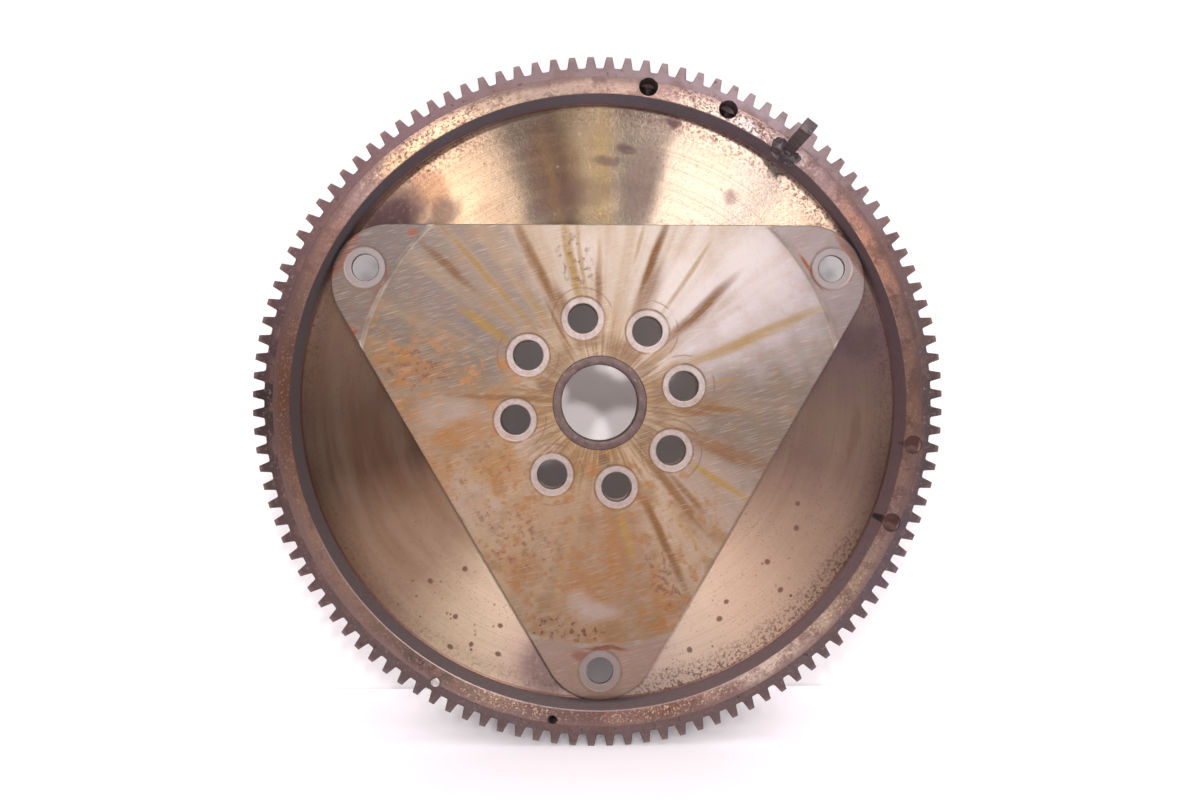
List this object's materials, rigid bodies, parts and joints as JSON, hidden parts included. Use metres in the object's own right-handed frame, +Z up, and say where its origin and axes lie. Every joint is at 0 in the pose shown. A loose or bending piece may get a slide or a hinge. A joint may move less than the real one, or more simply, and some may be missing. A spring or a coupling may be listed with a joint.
{
  "type": "flexplate",
  "caption": "Dished drive disc with a shrunk-on starter ring gear, a triangular flexible drive plate and a square timing peg, for bolting a torque converter to a crankshaft.",
  "frame": {"origin": "centre of the pilot bore, on the face that seats on the crankshaft", "axes": "Y is the shaft axis: +Y towards the crankshaft, -Y towards the torque converter; +Z up with the drive plate's flat edge on top; +X to the right seen from the converter side"},
  "size_m": [0.295, 0.051, 0.295],
  "materials": {
    "turned_steel": "lathe-turned, oil-tanned and lightly rusted",
    "gear_steel": "dark brown, hobbed teeth with worn tips",
    "spring_steel": "satin sheet with oil and rust streaks",
    "sleeve_steel": "turned, browned",
    "pin_steel": "bright",
    "peg_steel": "blackened square bar",
    "weld_steel": "dark as-welded bead"
  },
  "bodies": {
    "root": {"carrier_plate": "turned_steel", "ring_gear": "gear_steel", "spacer_ring": "turned_steel", "drive_plate": "spring_steel", "hub_sleeve": "sleeve_steel", "gear_lock_pin": "pin_steel", "reference_peg": "peg_steel", "peg_weld": "weld_steel"}
  },
  "joints": []
}
